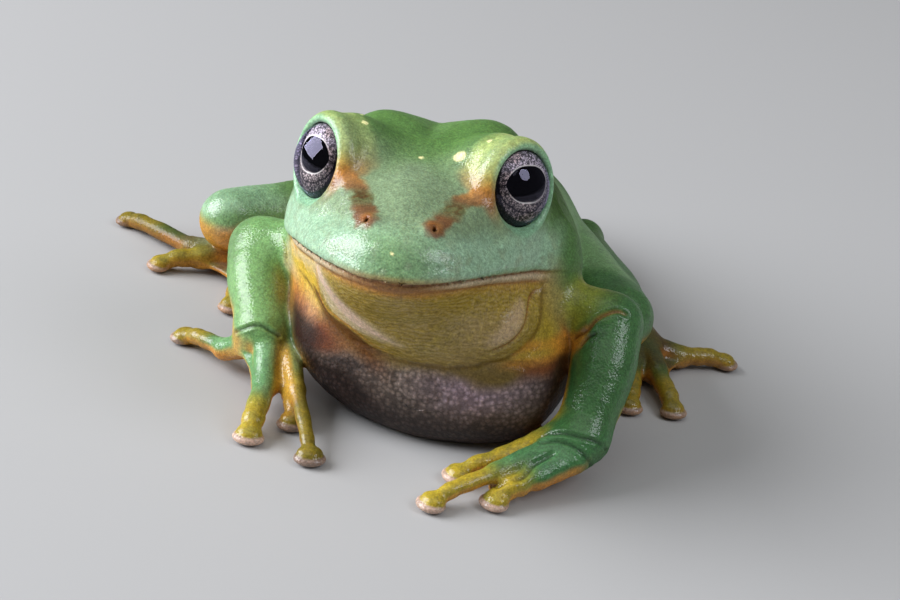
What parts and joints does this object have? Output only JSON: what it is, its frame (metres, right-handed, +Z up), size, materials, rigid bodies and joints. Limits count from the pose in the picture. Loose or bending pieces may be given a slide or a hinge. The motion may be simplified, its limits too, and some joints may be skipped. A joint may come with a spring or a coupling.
{
  "type": "tree frog",
  "caption": "Life-size crouching tree frog with its head raised, its belly and padded toes on the ground, a still museum-type model.",
  "frame": {"origin": "middle of the flat of the belly, on the ground", "axes": "+Z up; the frog faces -Y, and its left side is +X"},
  "size_m": [0.075, 0.0735, 0.0315],
  "materials": {
    "green_skin": "moist, satin to gloss",
    "throat_skin": "moist satin, finely wrinkled",
    "belly_skin": "satin, finely granular",
    "digit_skin": "moist gloss",
    "eye": "wet gloss"
  },
  "bodies": {
    "root": {"eye_left": "eye", "eye_right": "eye", "finger_1_left": "digit_skin", "finger_1_right": "digit_skin", "finger_2_left": "digit_skin", "finger_2_right": "digit_skin", "finger_3_left": "digit_skin", "finger_3_right": "digit_skin", "finger_4_left": "digit_skin", "finger_4_right": "digit_skin", "foot_left": "green_skin", "foot_right": "green_skin", "forearm_left": "green_skin", "forearm_right": "green_skin", "hand_left": "green_skin", "hand_right": "green_skin", "head": "green_skin", "lower_jaw": "throat_skin", "shank_left": "green_skin", "shank_right": "green_skin", "thigh_left": "green_skin", "thigh_right": "green_skin", "toe_1_left": "digit_skin", "toe_1_right": "digit_skin", "toe_2_left": "digit_skin", "toe_2_right": "digit_skin", "toe_3_left": "digit_skin", "toe_3_right": "digit_skin", "toe_4_left": "digit_skin", "toe_4_right": "digit_skin", "toe_5_left": "digit_skin", "toe_5_right": "digit_skin", "trunk": "belly_skin", "upper_arm_left": "green_skin", "upper_arm_right": "green_skin"}
  },
  "joints": []
}
